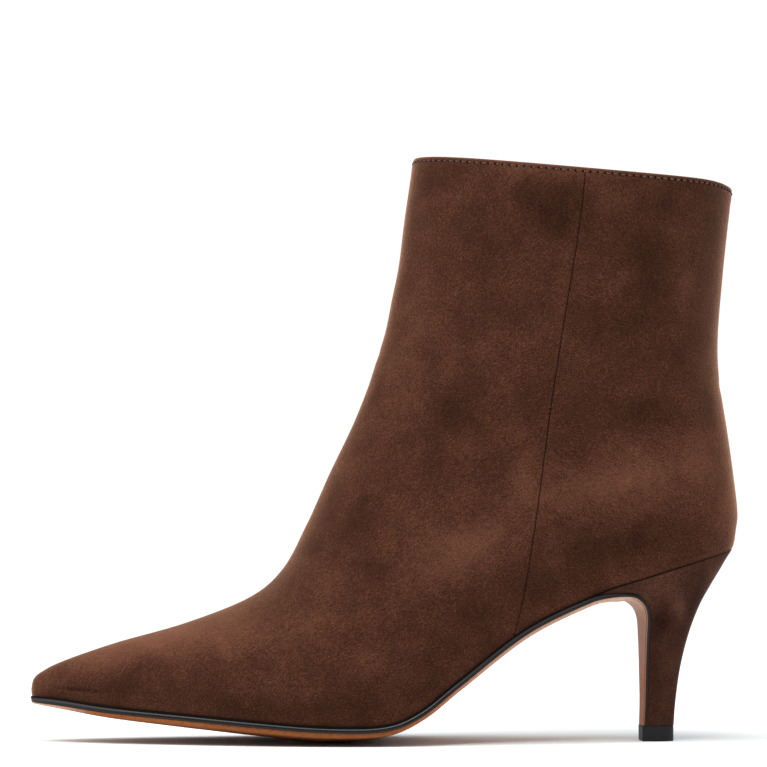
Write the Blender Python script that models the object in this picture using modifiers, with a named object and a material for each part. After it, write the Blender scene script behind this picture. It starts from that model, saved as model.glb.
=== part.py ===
# Heeled ankle boot for the left foot: pointed suede upper, thin sole that turns down the heel breast.
# Metres, +Z up. The toe points to -X, the outer (lateral) side faces -Y, and the boot stands on z = 0.

import math
from collections import namedtuple

import bmesh
import bpy
import numpy
from mathutils import Vector

# Driving sizes of the boot
LENGTH = 0.2534  # toe tip to the swell of the heel
BALL_WIDTH = 0.0790  # upper, across the ball
HEEL_HEIGHT = 0.0680  # floor to the back of the heel seat
BOOT_HEIGHT = 0.2096  # floor to the front of the collar

# Thicknesses and clearances
WALL = 0.0020  # suede with its lining
INSOLE = 0.0020
SEAT_GAP = 0.0003  # between pieces that are glued together
INSOLE_INSET = 0.0036  # insole edge to the outside of the upper's feather edge
WELT_MARGIN = 0.0008  # the welt stands proud of the feather edge
TOP_PIECE_MARGIN = 0.0002  # the rubber tip stands proud of the heel's base
DOME_POWER = 3.0  # of the outsole's bulge, flatter in the middle than a round dome

# Mesh densities
STEPS = 2  # rings for each row of the tables
LOW_SEGMENTS = 8  # from the feather edge or back line to the belly, on each side
TOP_SEGMENTS = 9  # from the belly to the front line
SHEET_SEGMENTS = 8  # across the sole pieces
SEAT_SEGMENTS = 22  # round the back of the heel
FRONT_SEGMENTS = 4  # across the heel breast

# Sections of the last, as percentages: x of LENGTH, front_z of BOOT_HEIGHT, low_z of HEEL_HEIGHT,
# widths and offsets of BALL_WIDTH. front_ is the point on the toe-to-collar front line, low_ the point
# on the feather edge or, above the heel seat, on the back line. width is the widest, edge the width at
# the feather edge, which from the heel wing on follows the seat's outline. centre and ridge are the
# sideways places of the section's middle and of its front point, towards the inner side. belly is where
# the section is widest, from its low to its front point. peak shapes the front: 1 is an ellipse, less
# is squarer, more is sharper. round shapes the back: 2 is an ellipse, more is squarer. dip lowers the
# sides.
Section = namedtuple(
    "Section", "front_x front_z low_x low_z width edge centre ridge belly peak round dip"
)
LAST = [
    Section(0.0, 8.9, 0.0, 23.0, 0.0, 0.0, 5.0, 5.0, 25.0, 0.90, 2.6, 0),  # toe tip
    Section(0.3, 10.8, 0.3, 23.1, 7.6, 7.1, 5.0, 5.0, 25.0, 0.90, 2.6, 0),
    Section(1.3, 12.0, 1.3, 23.0, 15.9, 14.9, 5.0, 5.0, 25.0, 0.88, 2.6, 0),
    Section(4.4, 13.6, 4.5, 22.2, 29.6, 27.8, 4.6, 5.0, 25.0, 0.88, 2.6, 0),  # toe box
    Section(11.8, 16.7, 11.8, 18.7, 53.2, 50.1, 3.8, 4.6, 25.0, 0.92, 2.6, 0),
    Section(21.7, 20.1, 22.5, 15.3, 77.2, 73.4, 2.5, 4.2, 25.0, 0.98, 2.6, 0),  # vamp
    Section(30.8, 24.5, 32.4, 12.5, 93.7, 89.2, 1.2, 4.0, 24.0, 1.05, 2.6, 0),
    Section(35.5, 29.4, 41.0, 10.6, 100.0, 94.9, -0.6, 4.0, 24.0, 1.10, 2.6, 0),  # ball
    Section(38.7, 36.6, 49.2, 10.7, 97.6, 92.4, -2.2, 4.0, 25.0, 1.12, 2.6, 0),
    Section(40.3, 40.8, 54.1, 17.2, 93.4, 86.4, -2.8, 3.8, 28.0, 1.12, 2.6, 0),
    Section(42.2, 46.0, 59.4, 32.0, 88.2, 77.4, -2.6, 3.4, 33.0, 1.10, 2.6, 0),  # instep
    Section(45.4, 54.1, 69.0, 58.8, 82.2, 67.1, -1.5, 2.6, 38.5, 1.06, 2.6, 0),  # waist
    Section(47.4, 60.1, 78.8, 77.0, 79.4, 62.0, 0.0, 2.0, 44.5, 1.03, 2.6, 0),  # heel wing
    Section(48.2, 63.0, 88.4, 87.8, 78.4, 0.0, 0.0, 1.8, 50.0, 1.02, 2.6, 0),
    Section(48.7, 64.9, 94.7, 94.9, 78.0, 0.0, 0.0, 1.6, 54.5, 1.02, 2.6, 0),
    Section(49.1, 66.2, 98.0, 98.6, 77.8, 0.0, 0.0, 1.5, 57.5, 1.01, 2.6, 0),
    Section(49.3, 67.2, 99.2, 100.0, 77.8, 0.0, 0.0, 1.4, 58.5, 1.01, 2.6, 0),  # seat back
    Section(49.9, 69.6, 99.8, 111.0, 78.0, 0.0, 0.0, 1.3, 58.5, 1.00, 2.6, 0),
    Section(50.4, 72.3, 100.0, 123.5, 78.4, 0.0, 0.0, 1.2, 58.0, 1.00, 2.5, 0),  # heel swell
    Section(50.9, 75.5, 98.8, 160.3, 79.5, 0.0, 0.0, 1.1, 54.5, 0.99, 2.3, 0),
    Section(51.9, 81.5, 97.5, 201.5, 80.6, 0.0, 0.0, 1.0, 51.0, 0.98, 2.1, 0),  # ankle
    Section(52.7, 89.2, 98.3, 245.5, 82.2, 0.0, 0.0, 1.0, 50.0, 0.96, 2.0, 1.2),
    Section(54.0, 100.0, 99.8, 294.0, 84.8, 0.0, 0.0, 1.0, 50.0, 0.95, 2.0, 3.1),  # collar
]
HEEL_WING_ROW = 12  # the sole leaves the feather edge here and turns down the heel
SEAT_BACK_ROW = 16  # the last row on the feather edge
SEAT_ROUND = LAST[SEAT_BACK_ROW].round

# Sections of the heel from the wing under the seat down to the base, in the same percentages. front_ is
# on the breast, back_ on the back curve, breast and width are the widths at the front and at the widest.
HeelSection = namedtuple("HeelSection", "front_x front_z back_x back_z breast width")
HEEL = [
    HeelSection(78.8, 77.0, 99.2, 100.1, 62.0, 62.0),  # wing, at the seat
    HeelSection(82.0, 78.3, 98.3, 95.8, 58.5, 60.5),
    HeelSection(84.6, 77.0, 97.4, 90.2, 52.5, 56.0),
    HeelSection(86.3, 72.4, 96.0, 81.6, 44.0, 49.0),
    HeelSection(87.0, 65.5, 94.5, 71.4, 35.5, 40.5),  # top of the straight breast
    HeelSection(87.1, 55.0, 93.0, 56.8, 27.5, 31.5),
    HeelSection(87.1, 39.0, 91.8, 39.2, 20.5, 23.0),
    HeelSection(87.1, 21.5, 91.1, 21.5, 16.2, 17.4),
    HeelSection(86.9, 8.3, 90.8, 8.3, 14.6, 15.2),  # base
]
WING_START = 0.25  # place along the rows of HEEL where the block itself begins

# Thickness of the two sole layers at rows of LAST and, past the wing, of HEEL, in millimetres, and how
# far the outsole bulges below its edges in the middle
Layer = namedtuple("Layer", "row welt sole dome")
LAYERS = [
    Layer(0, 0.9, 0.3, 0.0),
    Layer(2, 1.3, 0.4, 0.1),
    Layer(3, 1.7, 0.6, 0.3),
    Layer(5, 1.9, 1.4, 1.5),
    Layer(7, 1.9, 1.6, 3.5),
    Layer(8, 1.8, 1.5, 3.5),
    Layer(9, 1.7, 1.3, 0.9),
    Layer(10, 1.6, 1.1, 0.5),
    Layer(HEEL_WING_ROW, 1.5, 1.1, 0.4),
    Layer(HEEL_WING_ROW + 3, 0.7, 0.6, 0.3),
    Layer(HEEL_WING_ROW + len(HEEL) - 1, 0.6, 0.5, 0.1),
]

SUEDE = ("suede", (0.072, 0.027, 0.017), 0.95)
BLACK_EDGE = ("black edge", (0.010, 0.010, 0.011), 0.35)
TAN_SOLE = ("tan sole", (0.330, 0.120, 0.042), 0.55)
SOCK = ("sock", (0.300, 0.170, 0.095), 0.80)
RUBBER = ("black rubber", (0.012, 0.012, 0.013), 0.60)


def lerp(start, end, share):
    return start + (end - start) * share


def spline(rows, place):
    # Catmull-Rom value of every column at a place along the rows, 0 for the first
    last = len(rows) - 1
    first = min(int(place), last - 1)
    t = place - first
    around = [rows[max(0, min(last, first + k))] for k in (-1, 0, 1, 2)]
    values = [
        b + 0.5 * t * (c - a + t * (2 * a - 5 * b + 4 * c - d + t * (3 * b - a - 3 * c + d)))
        for a, b, c, d in zip(*around)
    ]
    return type(rows[0])(*values)


def layer_at(row):
    # Straight interpolation between the rows of LAYERS, in metres
    for start, end in zip(LAYERS, LAYERS[1:]):
        if row <= end.row:
            share = (row - start.row) / (end.row - start.row)
            break
    return Layer(*(lerp(a, b, share) * 0.001 for a, b in zip(start, end)))


def seat_half_width(x, back_x, round_power):
    # Half width of the heel seat's outline, which starts at the wing and closes at back_x
    wing = LAST[HEEL_WING_ROW]
    start = wing.low_x / 100 * LENGTH
    share = max(0.0, min(1.0, (x - start) / (back_x - start)))
    return wing.edge / 200 * BALL_WIDTH * (1 - share**round_power) ** (1 / round_power)


def section_at(place):
    # A section of the last in metres. The heel seat runs straight from the wing to its back.
    s = spline(LAST, place)
    low_x = s.low_x / 100 * LENGTH
    low_z = s.low_z / 100 * HEEL_HEIGHT
    edge = max(s.edge, 0) / 100 * BALL_WIDTH
    if place > HEEL_WING_ROW:
        edge = 2 * seat_half_width(low_x, back_of(place, low_x), s.round)
    if HEEL_WING_ROW < place < SEAT_BACK_ROW:
        wing, back = LAST[HEEL_WING_ROW], LAST[SEAT_BACK_ROW]
        share = (s.low_x - wing.low_x) / (back.low_x - wing.low_x)
        low_z = lerp(wing.low_z, back.low_z, share) / 100 * HEEL_HEIGHT
    return Section(
        front_x=s.front_x / 100 * LENGTH,
        front_z=s.front_z / 100 * BOOT_HEIGHT,
        low_x=low_x,
        low_z=low_z,
        width=max(s.width, 0) / 100 * BALL_WIDTH,
        edge=edge,
        centre=s.centre / 100 * BALL_WIDTH,
        ridge=s.ridge / 100 * BALL_WIDTH,
        belly=s.belly / 100,
        peak=s.peak,
        round=s.round,
        dip=s.dip / 100 * BALL_WIDTH,
    )


def back_of(place, low_x):
    # Where the outline closes: the back of the seat, and above it the back line
    return low_x if place >= SEAT_BACK_ROW else LAST[SEAT_BACK_ROW].low_x / 100 * LENGTH


def heel_section_at(place):
    s = spline(HEEL, place)
    return HeelSection(
        front_x=s.front_x / 100 * LENGTH,
        front_z=s.front_z / 100 * HEEL_HEIGHT,
        back_x=s.back_x / 100 * LENGTH,
        back_z=s.back_z / 100 * HEEL_HEIGHT,
        breast=s.breast / 100 * BALL_WIDTH,
        width=s.width / 100 * BALL_WIDTH,
    )


def section_ring(place):
    # Points from the outer feather edge over the front line to the inner feather edge
    s = section_at(place)
    found = []
    for k in range(LOW_SEGMENTS):
        share = 1 - math.cos(math.pi / 2 * k / LOW_SEGMENTS)
        x = lerp(s.low_x, s.front_x, share * s.belly)
        half = s.edge / 2
        if place > HEEL_WING_ROW:
            half = seat_half_width(x, back_of(place, s.low_x), s.round)
        found.append((share * s.belly, lerp(half, s.width / 2, math.sin(math.pi / 2 * share))))
    for k in range(TOP_SEGMENTS + 1):
        angle = math.pi / 2 * k / TOP_SEGMENTS
        half = max(math.cos(angle), 0.0) ** s.peak * s.width / 2
        found.append((lerp(s.belly, 1.0, math.sin(angle)), half))
    outer, inner = [], []
    for share, half in found:
        middle = lerp(s.centre, s.ridge, share)
        dip = s.dip * (2 * half / s.width) ** 2 if s.width else 0.0
        place_x, place_z = lerp(s.low_x, s.front_x, share), lerp(s.low_z, s.front_z, share) - dip
        outer.append(Vector((place_x, middle - half, place_z)))
        inner.append(Vector((place_x, middle + half, place_z)))
    return outer + inner[-2::-1]


def bridge(bm, first, second, closed):
    count = len(first)
    for k in range(count if closed else count - 1):
        bm.faces.new((first[k], first[(k + 1) % count], second[(k + 1) % count], second[k]))


def material_for(finish):
    name, colour, roughness = finish
    material = bpy.data.materials.get(name) or bpy.data.materials.new(name)
    material.use_nodes = True
    shader = material.node_tree.nodes["Principled BSDF"]
    shader.inputs["Base Color"].default_value = (*colour, 1.0)
    shader.inputs["Roughness"].default_value = roughness
    material.diffuse_color = (*colour, 1.0)
    return material


def add_piece(name, bm, finish, boot, collection):
    bmesh.ops.remove_doubles(bm, verts=bm.verts, dist=1e-6)
    bmesh.ops.dissolve_degenerate(bm, edges=bm.edges, dist=1e-6)
    bmesh.ops.recalc_face_normals(bm, faces=bm.faces)
    mesh = bpy.data.meshes.new(name)
    bm.to_mesh(mesh)
    bm.free()
    mesh.shade_smooth()
    mesh.set_sharp_from_angle(angle=math.radians(40))
    mesh.materials.append(material_for(finish))
    piece = bpy.data.objects.new(name, mesh)
    piece.parent = boot
    collection.objects.link(piece)
    return piece


def loft(rings, ladder=False):
    # Closed solid through rings of equal count. Its ends are capped by one face each, or by a ladder of
    # faces across the ring where an end isn't flat.
    bm = bmesh.new()
    rows = [[bm.verts.new(point) for point in ring] for ring in rings]
    for first, second in zip(rows, rows[1:]):
        bridge(bm, first, second, closed=True)
    for end in (rows[0], rows[-1]):
        if not ladder:
            bm.faces.new(end)
            continue
        half = len(end) // 2
        for k in range(half):
            rung = [end[k], end[k + 1], end[-k - 2], end[-k - 1]]
            if len(set(rung)) > 2 and k + 1 < half:
                bm.faces.new(rung)
        if len(end) % 2:
            bm.faces.new((end[half - 1], end[half], end[half + 1]))
    return bm


def make_upper(boot, collection):
    bm = bmesh.new()
    places = [k / STEPS for k in range((len(LAST) - 1) * STEPS + 1)]
    rows = [[bm.verts.new(point) for point in section_ring(place)] for place in places]
    for first, second in zip(rows, rows[1:]):
        bridge(bm, first, second, closed=False)
    upper = add_piece("upper", bm, SUEDE, boot, collection)
    shell = upper.modifiers.new("wall", "SOLIDIFY")
    shell.thickness = WALL
    shell.offset = -1.0
    shell.use_even_offset = True
    return upper


# The sole line: the feather edge from the toe to the heel wing, then the heel breast down to its base.
# Each station has its place in the side view, its sideways middle and half width, and its row.
Station = namedtuple("Station", "x z middle half row")


def sole_stations():
    found = []
    for k in range(HEEL_WING_ROW * STEPS):
        s = section_at(k / STEPS)
        found.append(Station(s.low_x, s.low_z, s.centre, s.edge / 2, k / STEPS))
    for k in range((len(HEEL) - 1) * STEPS + 1):
        h = heel_section_at(k / STEPS)
        row = HEEL_WING_ROW + k / STEPS
        found.append(Station(h.front_x, h.front_z, 0.0, h.breast / 2, row))
    return found


def normals_below(stations):
    # Unit normals of the line of stations, in the side view, towards the floor and the toe
    found = []
    last = len(stations) - 1
    for k in range(last + 1):
        before, after = stations[max(0, k - 1)], stations[min(last, k + 1)]
        along = Vector((after.x - before.x, after.z - before.z)).normalized()
        found.append(Vector((along.y, -along.x)))
    return found


def sheet_ring(station, normal, across):
    # across lists (sideways place, depth below the line) round the sheet's cross-section
    return [
        Vector((station.x + normal.x * depth, station.middle + side, max(0.0, station.z + normal.y * depth)))
        for side, depth in across
    ]


def make_welt(boot, collection):
    rings = []
    stations = sole_stations()
    for station, normal in zip(stations, normals_below(stations)):
        thick = layer_at(station.row).welt
        half = station.half + WELT_MARGIN
        flat = half - min(0.35 * thick, 0.5 * half)
        top, middle, low = SEAT_GAP, SEAT_GAP + thick / 2, SEAT_GAP + thick
        spread = [lerp(-flat, flat, k / SHEET_SEGMENTS) for k in range(SHEET_SEGMENTS + 1)]
        across = [(side, top) for side in spread] + [(half, middle)]
        across += [(side, low) for side in reversed(spread)] + [(-half, middle)]
        rings.append(sheet_ring(station, normal, across))
    return add_piece("welt", loft(rings), BLACK_EDGE, boot, collection)


def make_outsole(boot, collection):
    rings = []
    stations = sole_stations()
    for station, normal in zip(stations, normals_below(stations)):
        layer = layer_at(station.row)
        half = station.half + WELT_MARGIN
        flat = half - min(0.4 * layer.sole, 0.4 * half)
        top = SEAT_GAP + layer.welt + SEAT_GAP
        spread = [lerp(-1.0, 1.0, k / SHEET_SEGMENTS) for k in range(SHEET_SEGMENTS + 1)]
        across = [(share * half * 0.98, top) for share in spread]
        for share in reversed(spread):
            dome = layer.dome * (1 - abs(share) ** DOME_POWER)
            across.append((share * flat, top + layer.sole + dome))
        rings.append(sheet_ring(station, normal, across))
    return add_piece("outsole", loft(rings), TAN_SOLE, boot, collection)


def make_insole(boot, collection):
    # Stations as under the welt, and twice as many round the back of the seat
    places = [k / STEPS for k in range((SEAT_BACK_ROW - 2) * STEPS)]
    places += [SEAT_BACK_ROW - 2 + k / STEPS / 2 for k in range(2 * STEPS * 2 + 1)]
    sections = [section_at(place) for place in places]
    line_x, line_z = [s.low_x for s in sections], [s.low_z for s in sections]
    rings = []
    for before, s, after in zip(sections, sections[1:], sections[2:]):
        edges = []
        for side in (-1, 1):
            along = Vector((after.low_x - before.low_x, after.centre - before.centre))
            along.y += side * (after.edge - before.edge) / 2
            inward = Vector((along.y, -along.x)).normalized() * side
            edge = Vector((s.low_x, s.centre + side * s.edge / 2))
            edges.append(edge + inward * INSOLE_INSET)
        if edges[1].y - edges[0].y < 2 * INSOLE_INSET:
            continue
        across = [edges[0].lerp(edges[1], k / SHEET_SEGMENTS) for k in range(SHEET_SEGMENTS + 1)]
        low = [Vector((p.x, p.y, numpy.interp(p.x, line_x, line_z))) for p in across]
        top = [point + Vector((0, 0, INSOLE)) for point in low]
        rings.append(low + top[::-1])
    return add_piece("insole", loft(rings), SOCK, boot, collection)


def heel_ring(place):
    # Breast from the outer to the inner corner, then round the back. Its height runs from front to back.
    h = heel_section_at(place)
    length = h.back_x - h.front_x
    ring = []
    for k in range(FRONT_SEGMENTS):
        side = lerp(-h.breast, h.breast, k / FRONT_SEGMENTS) / 2
        ring.append(Vector((h.front_x, side, h.front_z)))
    for k in range(SEAT_SEGMENTS):
        angle = math.pi * k / SEAT_SEGMENTS
        share = math.sin(angle) ** (2 / SEAT_ROUND)
        reach = abs(math.cos(angle)) ** (2 / SEAT_ROUND) * (1 if angle < math.pi / 2 else -1)
        swell = lerp(h.breast, h.width, min(1.0, 3 * share)) / 2
        ring.append(
            Vector((h.front_x + length * share, reach * swell, lerp(h.front_z, h.back_z, share)))
        )
    return ring


def make_heel(boot, collection):
    # The wing's knife edge starts where the breast has left the feather edge above it
    places = [WING_START] + [k / STEPS for k in range(1, (len(HEEL) - 1) * STEPS + 1)]
    # Each ring starts in mid-breast, so that a ladder across it runs from side to side
    turn = FRONT_SEGMENTS // 2
    rings = [heel_ring(place) for place in places]
    rings = [ring[turn:] + ring[:turn] for ring in rings]
    return add_piece("heel", loft(rings, ladder=True), SUEDE, boot, collection)


def make_top_piece(boot, collection):
    # The heel's base with the ends of the two sole layers, grown a little, down to the floor
    base = HEEL[-1]
    layer = layer_at(HEEL_WING_ROW + len(HEEL) - 1)
    front_gap = layer.welt + layer.sole + 2 * SEAT_GAP
    top = base.front_z / 100 * HEEL_HEIGHT - SEAT_GAP
    outline = []
    for point in heel_ring(len(HEEL) - 1):
        middle = (base.front_x + base.back_x) / 200 * LENGTH
        grow = 1 + 2 * TOP_PIECE_MARGIN / (base.width / 100 * BALL_WIDTH)
        x = middle + (point.x - middle) * grow
        if point.x <= base.front_x / 100 * LENGTH + 1e-6:
            x -= front_gap
        outline.append((x, point.y * grow))
    rings = [[Vector((x, y, z)) for x, y in outline] for z in (0.0, top)]
    piece = add_piece("top_piece", loft(rings), RUBBER, boot, collection)
    edge = piece.modifiers.new("soft edge", "BEVEL")
    edge.width = 0.0004
    edge.segments = 1
    edge.limit_method = "ANGLE"
    return piece


def centre_over_floor(boot, pieces):
    # The origin is on the floor below the middle of the boot's box
    bpy.context.view_layer.update()
    graph = bpy.context.evaluated_depsgraph_get()
    corners = [Vector(c) for piece in pieces for c in piece.evaluated_get(graph).bound_box]
    for axis in (0, 1):
        spread = [corner[axis] for corner in corners]
        boot.location[axis] = -(min(spread) + max(spread)) / 2


def main():
    for obj in list(bpy.data.objects):
        bpy.data.objects.remove(obj)
    collection = bpy.data.collections.new("heeled_ankle_boot")
    bpy.context.scene.collection.children.link(collection)
    boot = bpy.data.objects.new("boot", None)
    collection.objects.link(boot)
    makers = (make_upper, make_insole, make_welt, make_outsole, make_heel, make_top_piece)
    centre_over_floor(boot, [make(boot, collection) for make in makers])


main()
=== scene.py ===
import math
from collections import namedtuple

import bmesh
import bpy
import numpy as np
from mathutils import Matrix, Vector, kdtree
from mathutils.bvhtree import BVHTree


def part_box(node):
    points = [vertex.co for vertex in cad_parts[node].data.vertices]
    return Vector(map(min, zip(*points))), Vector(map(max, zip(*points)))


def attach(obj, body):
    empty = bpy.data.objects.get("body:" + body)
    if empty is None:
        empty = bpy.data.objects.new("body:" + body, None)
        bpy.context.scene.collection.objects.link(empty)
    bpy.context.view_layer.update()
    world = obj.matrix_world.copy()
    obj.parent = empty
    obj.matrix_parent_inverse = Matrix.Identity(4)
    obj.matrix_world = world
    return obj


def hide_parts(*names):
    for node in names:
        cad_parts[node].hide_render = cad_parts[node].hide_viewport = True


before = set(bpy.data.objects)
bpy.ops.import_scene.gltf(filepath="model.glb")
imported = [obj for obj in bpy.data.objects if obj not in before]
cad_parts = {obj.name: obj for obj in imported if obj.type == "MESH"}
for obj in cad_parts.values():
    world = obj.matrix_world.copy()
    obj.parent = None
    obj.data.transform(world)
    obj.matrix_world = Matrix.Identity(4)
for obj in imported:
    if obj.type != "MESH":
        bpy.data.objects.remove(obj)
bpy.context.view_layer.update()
scene = bpy.context.scene
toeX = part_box("upper")[0].x  # the tables below start at the toe tip
heelY = sum(corner.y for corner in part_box("heel")) / 2  # and at the heel's middle
print("frame loaded:", len(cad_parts), "nodes")


# sizes of the boot
boot = {
    "length": 0.2534,  # toe tip to the swell of the heel
    "ballWidth": 0.0790,
    "heelHeight": 0.0680,  # floor to the back of the heel seat
    "height": 0.2096,  # floor to the front of the collar
    "gap": 0.0003,  # between the glued solids
    "seam": 0.00005,  # what is left of it where the finished pieces meet
    "weltMargin": (0.0008, 0.0003),  # the black edge stands proud of the upper, less at the heel's base
    "seatLift": (0.0006, 0.12),  # the heel seat's line bows up behind the wing: height, share of its rise
    "scoop": (0.50, 0.72),  # the collar's dip at the back: share of its sides' dip, share of the width
}

# samples on dense lines, and the spacing of the feather line that distances are taken to
dense = {"rows": 900, "feather": 1400, "seam": 1500, "rim": 900, "front": 260, "back": 200, "stitch": 400,
         "ring": 500, "featherStep": 0.0002}

# sections of the last: x in % of length, frontZ in % of height, lowZ in % of heel height, belly in %
# of the section, peak and round are powers, and the rest is in % of ball width
Section = namedtuple("Section", "frontX frontZ lowX lowZ width edge centre ridge belly peak round dip")
lastRows = [Section(*row) for row in (
    (0.0, 8.9, 0.0, 23.0, 0.0, 0.0, 5.0, 5.0, 25.0, 0.90, 2.6, 0),  # toe tip
    (0.3, 10.5, 0.3, 23.1, 7.6, 7.1, 5.0, 5.0, 25.0, 0.90, 2.6, 0),
    (1.3, 11.7, 1.3, 23.0, 15.9, 14.9, 5.0, 5.0, 25.0, 0.88, 2.6, 0),
    (4.4, 13.6, 4.5, 22.2, 29.6, 27.8, 4.6, 5.0, 25.0, 0.88, 2.6, 0),  # toe box
    (11.8, 16.7, 11.8, 18.7, 53.2, 50.1, 3.8, 4.6, 25.0, 0.92, 2.6, 0),
    (21.7, 20.1, 22.5, 15.3, 77.2, 73.4, 2.5, 4.2, 25.0, 0.98, 2.6, 0),  # vamp
    (30.8, 24.5, 32.4, 12.1, 93.7, 89.2, 1.2, 4.0, 24.0, 1.05, 2.6, 0),
    (35.5, 29.4, 41.0, 9.8, 100.0, 94.9, -0.6, 4.0, 24.0, 1.10, 2.6, 0),  # ball
    (38.7, 36.6, 49.2, 10.3, 97.6, 92.4, -2.2, 4.0, 25.0, 1.12, 2.6, 0),
    (40.3, 40.8, 54.1, 17.2, 93.4, 86.4, -2.8, 3.8, 28.0, 1.12, 2.6, 0),
    (42.2, 46.0, 59.4, 32.0, 88.2, 77.4, -2.6, 3.4, 33.0, 1.10, 2.6, 0),  # instep
    (45.4, 54.1, 69.0, 58.8, 82.2, 67.1, -1.5, 2.6, 38.5, 1.06, 2.6, 0),  # waist
    (47.4, 60.1, 78.8, 76.2, 79.4, 62.0, 0.0, 2.0, 44.5, 1.03, 2.6, 0),  # heel wing
    (48.2, 63.0, 88.4, 87.8, 78.4, 0.0, 0.0, 1.8, 50.0, 1.02, 2.6, 0),
    (48.7, 64.9, 94.7, 94.9, 78.0, 0.0, 0.0, 1.6, 54.5, 1.02, 2.6, 0),
    (49.1, 66.2, 98.0, 98.6, 77.8, 0.0, 0.0, 1.5, 57.5, 1.01, 2.6, 0),
    (49.3, 67.2, 99.2, 100.6, 77.8, 0.0, 0.0, 1.4, 58.5, 1.01, 2.6, 0),  # seat back
    (49.9, 69.6, 99.8, 111.0, 78.0, 0.0, 0.0, 1.3, 58.5, 1.00, 2.6, 0),
    (50.4, 72.3, 100.0, 123.5, 78.4, 0.0, 0.0, 1.2, 58.0, 1.00, 2.5, 0),  # heel swell
    (50.9, 75.5, 98.8, 160.3, 79.5, 0.0, 0.0, 1.1, 54.5, 0.99, 2.3, 0),
    (51.9, 81.5, 97.5, 201.5, 80.6, 0.0, 0.0, 1.0, 51.0, 0.98, 2.1, 0),  # ankle
    (52.7, 89.2, 98.3, 245.5, 82.2, 0.0, 0.0, 1.0, 50.0, 0.96, 2.0, 1.2),
    (54.0, 100.0, 99.8, 294.0, 84.8, 0.0, 0.0, 1.0, 50.0, 0.95, 2.0, 3.1),  # collar
)]
wingRow = 12  # the sole leaves the feather edge here and turns down the heel
seatRow = 16  # the last row on the feather edge
collarRow = len(lastRows) - 1
wingX = lastRows[wingRow].lowX / 100 * boot["length"]

# sections of the heel from the wing down to the base, in the same percentages
HeelSection = namedtuple("HeelSection", "frontX frontZ backX backZ breast width")
heelRows = [HeelSection(*row) for row in (
    (78.8, 76.2, 99.2, 100.7, 62.0, 62.0),  # wing, at the seat
    (82.0, 77.7, 98.3, 95.8, 58.5, 60.5),
    (84.6, 77.0, 97.4, 90.2, 52.5, 56.0),
    (86.3, 72.4, 96.0, 81.6, 44.0, 49.0),
    (87.0, 65.5, 94.5, 71.4, 35.5, 40.5),  # top of the straight breast
    (87.05, 55.0, 93.0, 56.8, 27.5, 31.5),
    (87.0, 39.0, 91.8, 39.2, 20.5, 23.0),
    (86.95, 21.5, 91.1, 21.5, 16.2, 17.4),
    (86.8, 8.3, 90.8, 8.3, 14.6, 15.2),  # base
)]
baseRow = len(heelRows) - 1

# thickness of the black edge and the tan sole along the sole line, and the sole's bulge, in mm
Layer = namedtuple("Layer", "row welt sole dome")
soleLayers = [Layer(*row) for row in (
    (0, 0.9, 0.3, 0.0),
    (2, 1.5, 0.5, 0.1),
    (3, 1.8, 0.9, 0.4),
    (5, 1.6, 1.6, 1.9),
    (7, 1.5, 1.6, 3.3),
    (8, 1.5, 1.5, 1.8),
    (9, 1.45, 1.2, 0.6),
    (10, 1.35, 1.1, 0.5),
    (12, 1.25, 1.1, 0.4),
    (13.3, 1.05, 1.0, 0.8),
    (15, 0.85, 0.6, 0.15),
    (20, 0.7, 0.5, 0.1),
)]


def lerp(start, end, share):
    return start + (end - start) * share


def srgb(red, green, blue):
    # screen colour 0 to 255 to the linear colour that shaders take
    return tuple((c / 12.92 if c <= 0.04045 else ((c + 0.055) / 1.055) ** 2.4)
                 for c in (red / 255, green / 255, blue / 255)) + (1.0,)


def splineRow(rows, place):
    # Catmull-Rom value of every column at a place along the rows
    last = len(rows) - 1
    first = min(int(place), last - 1)
    t = place - first
    around = [rows[max(0, min(last, first + k))] for k in (-1, 0, 1, 2)]
    values = [b + 0.5 * t * (c - a + t * (2 * a - 5 * b + 4 * c - d + t * (3 * b - a - 3 * c + d)))
              for a, b, c, d in zip(*around)]
    return type(rows[0])(*values)


def layerAt(row):
    rows = [layer.row for layer in soleLayers]
    return Layer(*(float(np.interp(row, rows, column)) * 0.001 for column in zip(*soleLayers)))


def seatHalfWidth(x, backX, power):
    # half width of the heel seat's outline, which closes at backX
    widest = lastRows[wingRow].edge / 200 * boot["ballWidth"]
    share = np.clip((x - wingX) / (backX - wingX), 0, 1)
    return widest * (1 - share ** power) ** (1 / power)


def easeUp(values, start, end):
    # 0 to 1 from start to end, smooth at both
    share = np.clip((values - start) / (end - start), 0, 1)
    return share * share * (3 - 2 * share)


def seatLift(share):
    # how far the heel seat's line bows up above the straight one
    lift, rise = boot["seatLift"]
    return lift * easeUp(share, 0, rise) * (1 - share)


def backOf(place, lowX):
    return lowX if place >= seatRow else lastRows[seatRow].lowX / 100 * boot["length"]


def sectionAt(place):
    # a section of the last in metres
    s = splineRow(lastRows, place)
    wing, seat = lastRows[wingRow], lastRows[seatRow]
    lowX, lowZ = s.lowX / 100 * boot["length"], s.lowZ / 100 * boot["heelHeight"]
    edge = max(s.edge, 0) / 100 * boot["ballWidth"]
    if place > wingRow:
        edge = 2 * float(seatHalfWidth(lowX, backOf(place, lowX), s.round))
    if wingRow < place < seatRow:  # the seat runs nearly straight from the wing to its back
        share = (s.lowX - wing.lowX) / (seat.lowX - wing.lowX)
        lowZ = lerp(wing.lowZ, seat.lowZ, share) / 100 * boot["heelHeight"] + float(seatLift(share))
    across = boot["ballWidth"] / 100
    return Section(s.frontX / 100 * boot["length"], s.frontZ / 100 * boot["height"], lowX, lowZ,
                   max(s.width, 0) * across, edge, s.centre * across, s.ridge * across,
                   s.belly / 100, s.peak, s.round, s.dip * across)


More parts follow.
